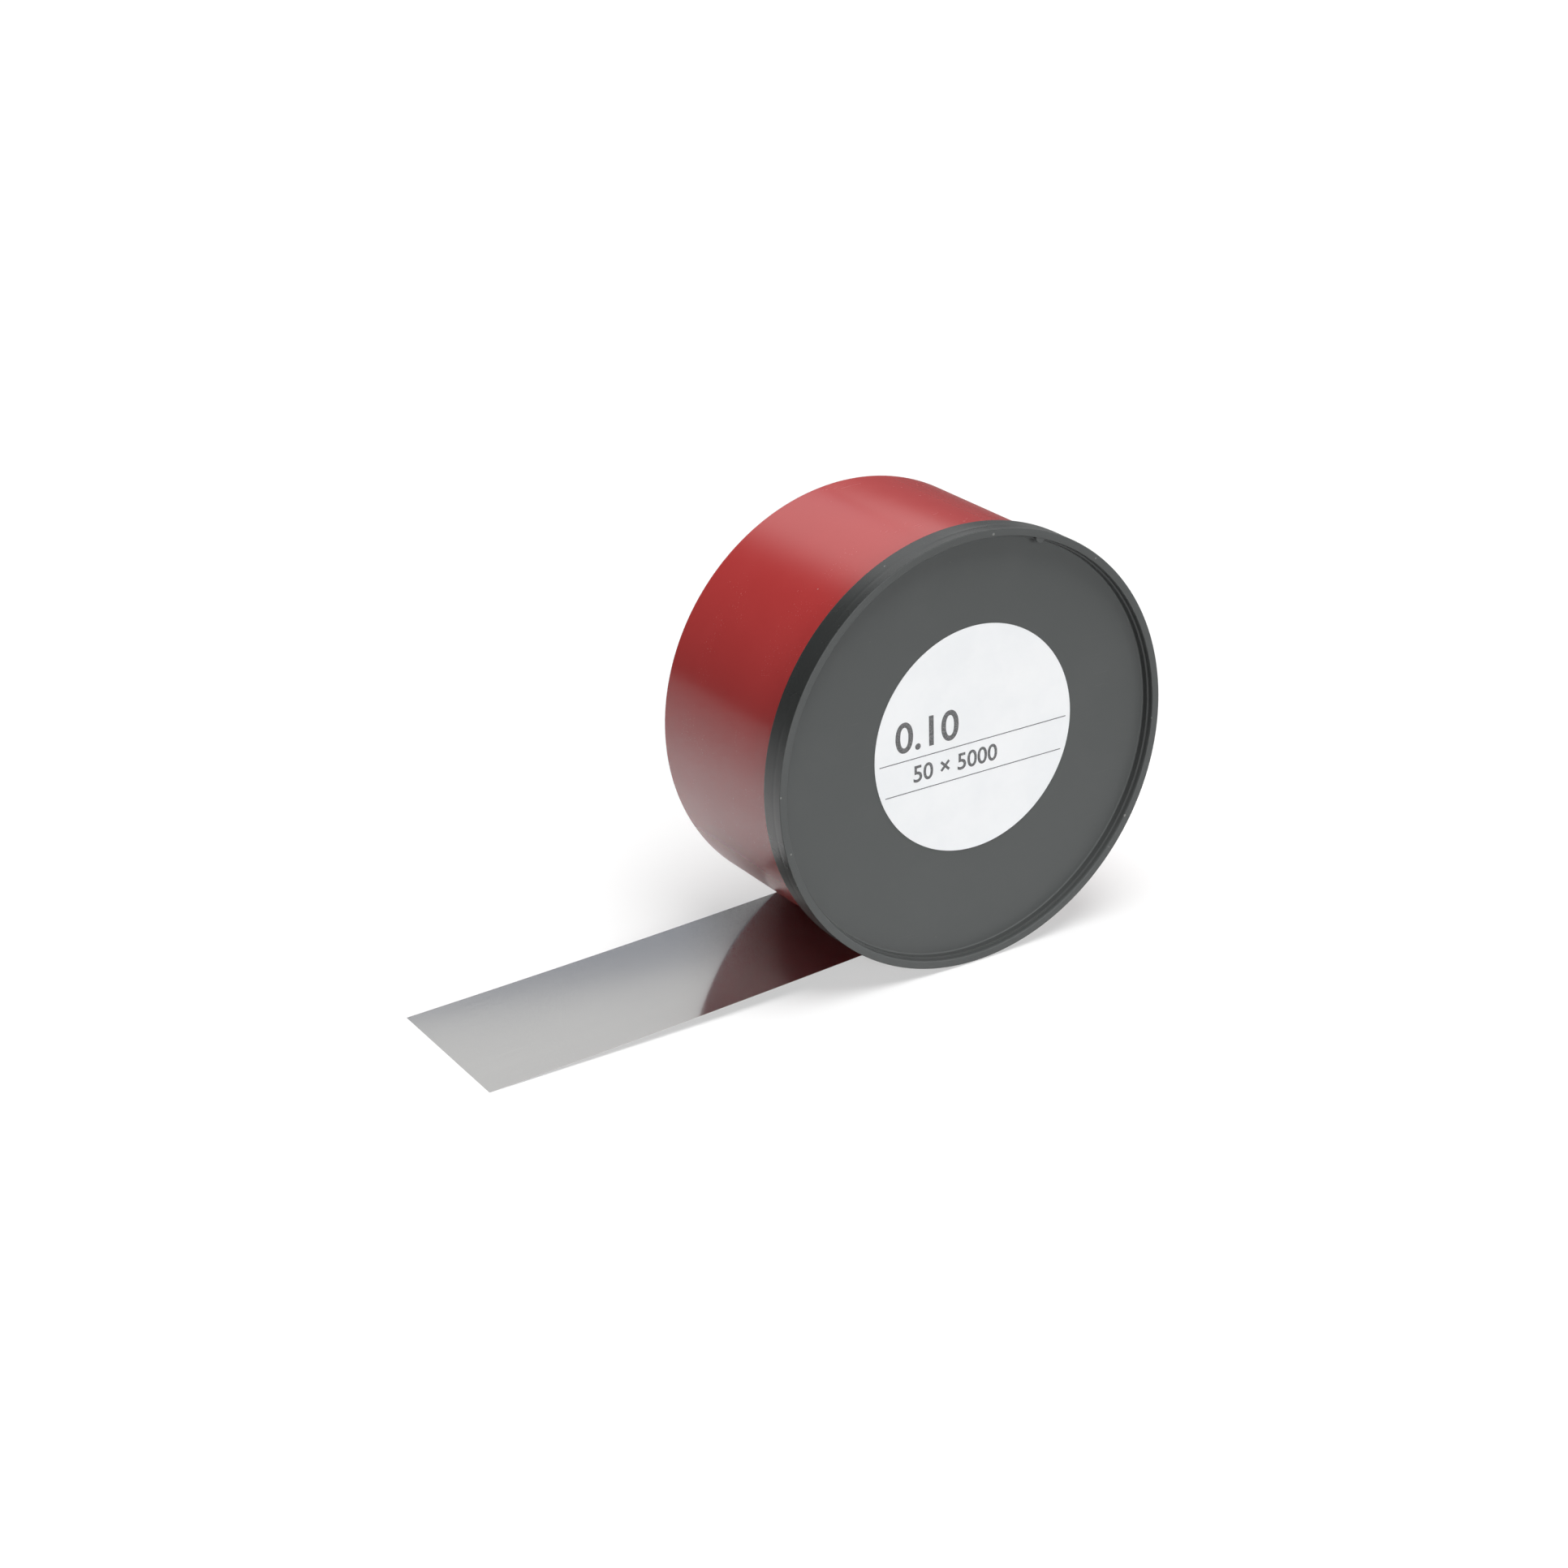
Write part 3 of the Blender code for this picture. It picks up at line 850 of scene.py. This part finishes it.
on_skirt = maths(tree, "MULTIPLY", ramp_mm(tree, place["Radius"], SKIRT_SKIN),
                 ramp_mm(tree, place["Depth"], SKIRT_START))
# Painted shade: this mask covers the walls and the ledge of the recess, which get a darker colour there.
recess_painted_shade = maths(tree, "MULTIPLY", ramp_mm(tree, place["Depth"], RECESS_TOP),
                  ramp_mm(tree, place["Depth"], RECESS_BOTTOM, 1.0, 0.0))

# %% Colour and gloss of the black plastic
FACE_BLACK = (0.088, 0.0925, 0.092)
RECESS_PAINTED_SHADE = (0.06, 0.063, 0.0625)
SKIRT_BLACK = (0.03, 0.033, 0.0325)
HANDLED_BLACK = (0.12, 0.123, 0.123)
RUBBED_BLACK = (0.12, 0.125, 0.125)
SCRATCHED_BLACK = (0.13, 0.135, 0.135)
DUST_ON_BLACK = (0.3, 0.3, 0.29)
BLACK_ROUGHNESS = (0.36, 0.44)
FACE_IOR = 1.31
SKIRT_IOR = 1.61
SKIRT_SMOOTHER = 0.12

# Painted shade: the recess takes a darker black than the face, standing in for the shade that falls
# there.
black = blend_colours(tree, recess_painted_shade, FACE_BLACK, RECESS_PAINTED_SHADE)
black = blend_colours(tree, on_skirt, black, SKIRT_BLACK)
cloudy = maths(tree, "MULTIPLY", ramp(tree, grain["Broad"], 0.45, 0.75, 0.0, 0.12),
               maths(tree, "SUBTRACT", 1.0, maths(tree, "MULTIPLY", on_skirt, 0.5)))
black = lay_over(tree, black, [(cloudy, 1.0, HANDLED_BLACK),
                               (wear, 0.2, RUBBED_BLACK),
                               (scratches["Mask"], 0.3, SCRATCHED_BLACK),
                               (dust["Mask"], 0.6, DUST_ON_BLACK)])
tree.links.new(black, shader.inputs["Base Color"])
matte = ramp(tree, grain["Broad"], 0.3, 0.7, *BLACK_ROUGHNESS)
satin = maths(tree, "SUBTRACT", matte, maths(tree, "MULTIPLY", on_skirt, SKIRT_SMOOTHER))
tree.links.new(satin, shader.inputs["Roughness"])
tree.links.new(ramp(tree, on_skirt, 0.0, 1.0, FACE_IOR, SKIRT_IOR), shader.inputs["IOR"])
bump(tree, shader, grain["Fine"], strength=1.0, distance=0.006 * MM)
report_material(black_plastic)

# %% [markdown]
# ## Label paper and ink
#
# Coated paper is white with a faint blue, smooth but not glossy. The ink is a soft dark grey, thinner in
# spots, as cheap printing is. Both are flat colours with a noise, because nothing more of them shows.

# %% Label paper
PAPER_SHADE = (0.84, 0.855, 0.87)
PAPER_WHITE = (0.88, 0.89, 0.9)
PAPER_ROUGHNESS = (0.42, 0.56)

label_paper, tree, shader, coordinates = new_material("label_paper", IOR=1.45)
grain = use_group(tree, grain_group, [("Vector", coordinates["Object"])],
                  Fine_Scale=2400.0, Broad_Scale=60.0)
paper = blend_colours(tree, ramp(tree, grain["Broad"], 0.3, 0.7), PAPER_SHADE, PAPER_WHITE)
tree.links.new(paper, shader.inputs["Base Color"])
tree.links.new(ramp(tree, grain["Fine"], 0.3, 0.7, *PAPER_ROUGHNESS), shader.inputs["Roughness"])
bump(tree, shader, grain["Fine"], strength=0.08, distance=0.03 * MM)
report_material(label_paper)

# %% Ink
FULL_INK = (0.09, 0.09, 0.092)
THIN_INK = (0.3, 0.3, 0.31)

label_ink, tree, shader, coordinates = new_material("label_ink", Roughness=0.5)
grain = use_group(tree, grain_group, [("Vector", coordinates["Object"])],
                  Fine_Scale=3600.0, Broad_Scale=300.0)
ink_colour = blend_colours(tree, ramp(tree, grain["Fine"], 0.45, 0.72), FULL_INK, THIN_INK)
tree.links.new(ink_colour, shader.inputs["Base Color"])
report_material(label_ink)

# %% [markdown]
# ## Spring steel
#
# Cold-rolled strip has a bright surface with a very fine grain along its length, from the rolls. The
# shader's Anisotropic value could stretch the reflections, but it shows no single streaks. A noise on
# the strip's own flat coordinates, pulled out along its length, does both jobs: it moves the colour and
# the roughness, and as a bump it spreads reflections across the strip more than along it.

# %% Streaks on the steel
spring_steel, tree, shader, _ = new_material("spring_steel", Metallic=1.0)
flat_place = add(tree, "ShaderNodeUVMap", uv_map="flat_strip").outputs["UV"]


def streaks(along, across, detail):
    """Noise on the flat strip, so many streaks a metre along its length and across it."""
    stretched = add(tree, "ShaderNodeMapping", [("Vector", flat_place)],
                    Scale=(along, across, 1.0)).outputs["Vector"]
    return add(tree, "ShaderNodeTexNoise", [("Vector", stretched)],
               Scale=1.0, Detail=detail).outputs["Fac"]


fine_streaks = streaks(along=25.0, across=5200.0, detail=2.0)
broad_streaks = streaks(along=4.0, across=420.0, detail=3.0)
dull_streaks = streaks(along=2000.0, across=60000.0, detail=0.0)
clouds = streaks(along=30.0, across=60.0, detail=3.0)

# %% Colour and polish of the steel
STEEL_SHADE = (0.54, 0.535, 0.525)
STEEL_BRIGHT = (0.585, 0.58, 0.57)
STEEL_DULL = (0.5, 0.5, 0.495)
STREAK_ROUGHNESS = (0.065, 0.095)
CLOUD_ROUGHNESS = (0.004, 0.014)
DULL_ROUGHNESS = (0.0, 0.33)

steel = blend_colours(tree, ramp(tree, fine_streaks, 0.25, 0.75), STEEL_SHADE, STEEL_BRIGHT)
steel = lay_over(tree, steel, [(ramp(tree, broad_streaks, 0.5, 0.8), 0.15, STEEL_DULL)])
tree.links.new(steel, shader.inputs["Base Color"])
polish = maths(tree, "ADD", ramp(tree, fine_streaks, 0.2, 0.8, *STREAK_ROUGHNESS),
               ramp(tree, clouds, 0.3, 0.7, *CLOUD_ROUGHNESS))
polish = maths(tree, "ADD", polish, ramp(tree, dull_streaks, 0.54, 0.61, *DULL_ROUGHNESS))
tree.links.new(polish, shader.inputs["Roughness"])
bump(tree, shader, fine_streaks, strength=0.05, distance=0.01 * MM)
report_material(spring_steel)

# %% [markdown]
# ## Every piece in its place
#
# Each piece rides on the body of the CAD node that it stands for: the label and its ink come off with
# the lid, and the strip stays with the case.

# %% Bodies, slots and the nodes that the pieces stand for
for piece, body, node, slot, material in (
        (case_shell, "case", "case_body", "case_plastic", red_plastic),
        (shim_strip, "case", "steel_strip", "strip_steel", spring_steel),
        (lid_moulding, "lid", "lid", "lid_plastic", black_plastic),
        (label_disc, "lid", "label", "label_paper", label_paper),
        (label_print, "lid", None, None, label_ink)):
    piece.data.materials.clear()
    piece.data.materials.append(material)
    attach(piece, body)
    if node:
        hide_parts(node)
    print(piece.name, "rides on", body)

# %% [markdown]
# ## Floor and background
#
# The object lies on a plain pale floor that runs into a white background. A white world would flood
# the shaded side of the case with light, so the rays are told apart: the camera and reflections see
# white, while only a little of it lights the object. The floor does the same: it looks nearly white
# and keeps the object's shadow, but throws less light up than it could, as a sheet of paper of limited
# size would. In reflections it also darkens with distance, because that sheet ends not far away, and
# soonest on the right.

# %% Helpers for the floor and the world
WHITE = (1.0, 1.0, 1.0)
BLACK = (0.0, 0.0, 0.0)


def seen_ray(tree):
    """1 for a ray that shows the background: from the camera, or by reflection or through glass."""
    path = tree.nodes.new("ShaderNodeLightPath").outputs
    shown = maths(tree, "MAXIMUM", path["Is Camera Ray"],
                  maths(tree, "MAXIMUM", path["Is Glossy Ray"], path["Is Transmission Ray"]))
    return maths(tree, "MULTIPLY", shown, maths(tree, "LESS_THAN", path["Diffuse Depth"], 0.5))


def glow(tree, colour):
    """An Emission node of that colour at strength 1. Gives its shader."""
    return add(tree, "ShaderNodeEmission", Color=(*colour, 1.0)).outputs["Emission"]


def mix_shaders(tree, mask, first, second):
    """Mix two shaders by a mask. Gives the shader."""
    node = add(tree, "ShaderNodeMixShader", [("Fac", mask)])
    tree.links.new(first, node.inputs[1])
    tree.links.new(second, node.inputs[2])
    return node.outputs["Shader"]


# %% The floor as the camera sees it
FLOOR_SIZE = 9.0
FLOOR_SEEN = (0.97, 0.97, 0.97)
FLOOR_BOUNCE = (0.32, 0.32, 0.32)
FLOOR_GLOW = 0.5

bpy.ops.object.select_all(action="DESELECT")
bpy.ops.mesh.primitive_plane_add(size=FLOOR_SIZE)
floor = bpy.context.object
floor.name = "floor"
floor_paint, tree, shader, coordinates = new_material(
    "floor_paint", Roughness=1.0, Specular_IOR_Level=0.0)
seen = seen_ray(tree)
tree.links.new(blend_colours(tree, seen, FLOOR_BOUNCE, FLOOR_SEEN), shader.inputs["Base Color"])
mirrored = tree.nodes.new("ShaderNodeLightPath").outputs["Is Glossy Ray"]
glowing = ramp(tree, mirrored, 0.0, 1.0, FLOOR_GLOW, 0.0)
paper_white = mix_shaders(tree, maths(tree, "MULTIPLY", seen, glowing), shader.outputs["BSDF"],
                          glow(tree, WHITE))
floor.data.materials.append(floor_paint)

# %% The floor as the object mirrors it
FADE_START = 0.139
FADE_BEHIND = -0.6
FADE_BEFORE = -0.25
FRONT_TO_BACK = (-0.05, 0.1)
MIDDLE_TO_RIGHT = (0.05, 0.15)
NEAR_TO_FAR = (0.2, 0.4)
DARK_ON_RIGHT = 0.6

away = add(tree, "ShaderNodeVectorMath", [(0, coordinates["Object"])],
           operation="LENGTH").outputs["Value"]
across = add(tree, "ShaderNodeSeparateXYZ", [("Vector", coordinates["Object"])]).outputs
steepness = ramp(tree, across["Y"], *FRONT_TO_BACK, FADE_BEFORE, FADE_BEHIND)
starts_passed = maths(tree, "DIVIDE", maths(tree, "MAXIMUM", away, FADE_START), FADE_START)
fade = maths(tree, "POWER", starts_passed, steepness)
far_right = maths(tree, "MULTIPLY", ramp(tree, across["X"], *MIDDLE_TO_RIGHT),
                  ramp(tree, away, *NEAR_TO_FAR, 0.0, DARK_ON_RIGHT))
fade = maths(tree, "MULTIPLY", fade, maths(tree, "SUBTRACT", 1.0, far_right))
hidden = maths(tree, "MULTIPLY", mirrored, maths(tree, "SUBTRACT", 1.0, fade))
faded = mix_shaders(tree, hidden, paper_white, glow(tree, BLACK))
tree.links.new(faded, tree.nodes["Material Output"].inputs["Surface"])
report_material(floor_paint)

# %% World
AMBIENT = 0.11

world = bpy.data.worlds.new("studio")
world.use_nodes = True
scene.world = world
tree = world.node_tree
strength = ramp(tree, seen_ray(tree), 0.0, 1.0, AMBIENT, 1.0)
tree.nodes["Background"].inputs["Color"].default_value = (*WHITE, 1.0)
tree.links.new(strength, tree.nodes["Background"].inputs["Strength"])
print("the world looks white, and lights the object at", AMBIENT)

# %% [markdown]
# ## Light
#
# Two wide soft lamps light the object from far off: one hangs overhead, and one stands low in front, so
# the rim of the lid throws hardly any shadow on its face while the left side of the case falls into
# shade. Their levels are set so that the label stays just short of white. Reflections don't see them:
# what the plastic and the steel mirror is the white room and the boards below.
#
# In the photograph the case mirrors a white ceiling whose far edge is a metre behind it, a grey wall
# under that edge, and further left a dark room. Three upright boards stand there in one line, each cut
# to its own outline: a dark one on the left, a grey one that gets dark towards its right end, and a far
# one that carries it on. Only reflections see them. Photographers call such boards flags.

# %% The lamps
def soft_lamp(name, towards, level, angle):
    """A wide soft lamp, far off in that direction. At level 1 it makes white paper facing it white."""
    lamp_data = bpy.data.lights.new(name, "SUN")
    lamp_data.angle = math.radians(angle)
    lamp_data.energy = level * math.pi / math.cos(lamp_data.angle / 2) ** 2
    lamp = bpy.data.objects.new(name, lamp_data)
    scene.collection.objects.link(lamp)
    lamp.matrix_world = (-Vector(towards)).to_track_quat("-Z", "Y").to_matrix().to_4x4()
    lamp.visible_glossy = False
    print(name, "strength", round(lamp_data.energy, 2), "W/m2")


soft_lamp("top_lamp", towards=(0.02, -0.17, 0.97), level=0.86, angle=40)
soft_lamp("front_lamp", towards=(-0.03, -1.0, 0.18), level=0.59, angle=30)

# %% A flag
FLAG_CORNER = Vector((0.0005, 1.092, 0.0))
FLAG_TURN = math.radians(23.1)


def flag(name, outline, first, second, change):
    """An upright board that only reflections see.

    The outline is given in mm along the line of the flags and up. The paint changes from the first
    colour to the second between two places along that line, in metres.
    """
    board = draw_profile(name, [(along, up, 0) for along, up in outline])
    bpy.ops.object.mode_set(mode="EDIT")
    bpy.ops.mesh.select_all(action="SELECT")
    bpy.ops.mesh.edge_face_add()
    bpy.ops.object.mode_set(mode="OBJECT")
    board.matrix_world = (Matrix.Translation(FLAG_CORNER) @ Matrix.Rotation(FLAG_TURN, 4, "Z")
                          @ Matrix.Rotation(math.pi / 2, 4, "X"))
    paint, tree, shader, coordinates = new_material(name)
    place = add(tree, "ShaderNodeSeparateXYZ", [("Vector", coordinates["Object"])]).outputs["X"]
    colour = blend_colours(tree, ramp(tree, place, *change), first, second)
    emission = add(tree, "ShaderNodeEmission", [("Color", colour)])
    tree.links.new(emission.outputs["Emission"], tree.nodes["Material Output"].inputs["Surface"])
    board.data.materials.append(paint)
    board.visible_camera = board.visible_diffuse = board.visible_shadow = False
    board.visible_transmission = board.visible_volume_scatter = False
    print(name, "is", outline[1][0] - outline[0][0], "mm wide")


# %% The flags, from left to right
DARK_ROOM = (0.09, 0.085, 0.085)
GREY_WALL = (0.327, 0.356, 0.425)
WALL_IN_SHADE = (0.07, 0.07, 0.075)
FAR_WALL = (0.15, 0.15, 0.155)

flag("dark_flag", [(-2600, 0), (140, 0), (140, 1500), (-2600, 1500)],
     DARK_ROOM, WHITE, change=(-0.27, 0.13))
flag("grey_flag", [(300, 0), (970, 0), (970, 791), (880, 800), (830, 884), (300, 766)],
     GREY_WALL, WALL_IN_SHADE, change=(0.735, 0.81))
flag("far_flag", [(970, 0), (2000, 0), (2000, 720), (1170, 770), (970, 791)],
     WALL_IN_SHADE, FAR_WALL, change=(0.97, 1.1))
